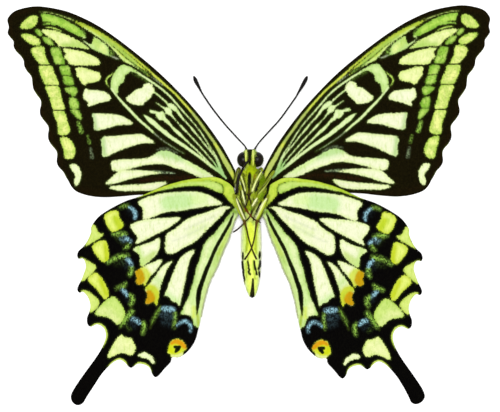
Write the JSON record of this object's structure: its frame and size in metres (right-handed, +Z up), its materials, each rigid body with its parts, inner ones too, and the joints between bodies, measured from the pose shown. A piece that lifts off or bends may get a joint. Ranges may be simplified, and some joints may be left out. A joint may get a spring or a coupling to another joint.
{
  "type": "asian swallowtail butterfly",
  "caption": "Still life-size swallowtail butterfly lying on its back with its wings spread, showing its patterned underside.",
  "frame": {"origin": "middle of the small flat on the back of the thorax, on which the specimen lies", "axes": "+X across the spread wings, +Y from the tail to the head, +Z up out of the belly; left means -X"},
  "size_m": [0.0996, 0.0831, 0.0085],
  "materials": {
    "wing_scales": "fine matt scales, pale yellow-green crossed by black",
    "body_scales": "soft yellow-green hair and scales",
    "eye": "dark glossy facets",
    "black_chitin": "satin black-brown chitin",
    "leg_chitin": "olive chitin with pale and dark lines"
  },
  "bodies": {
    "root": {"forewing_left": "wing_scales", "forewing_right": "wing_scales", "hindwing_left": "wing_scales", "hindwing_right": "wing_scales", "thorax": "body_scales", "abdomen": "body_scales", "head": "body_scales", "palp_left": "body_scales", "palp_right": "body_scales", "eye_left": "eye", "eye_right": "eye", "antenna_left": "black_chitin", "antenna_right": "black_chitin", "proboscis": "black_chitin", "leg_fore_left": "leg_chitin", "leg_fore_right": "leg_chitin", "leg_mid_left": "leg_chitin", "leg_mid_right": "leg_chitin", "leg_hind_left": "leg_chitin", "leg_hind_right": "leg_chitin"}
  },
  "joints": []
}
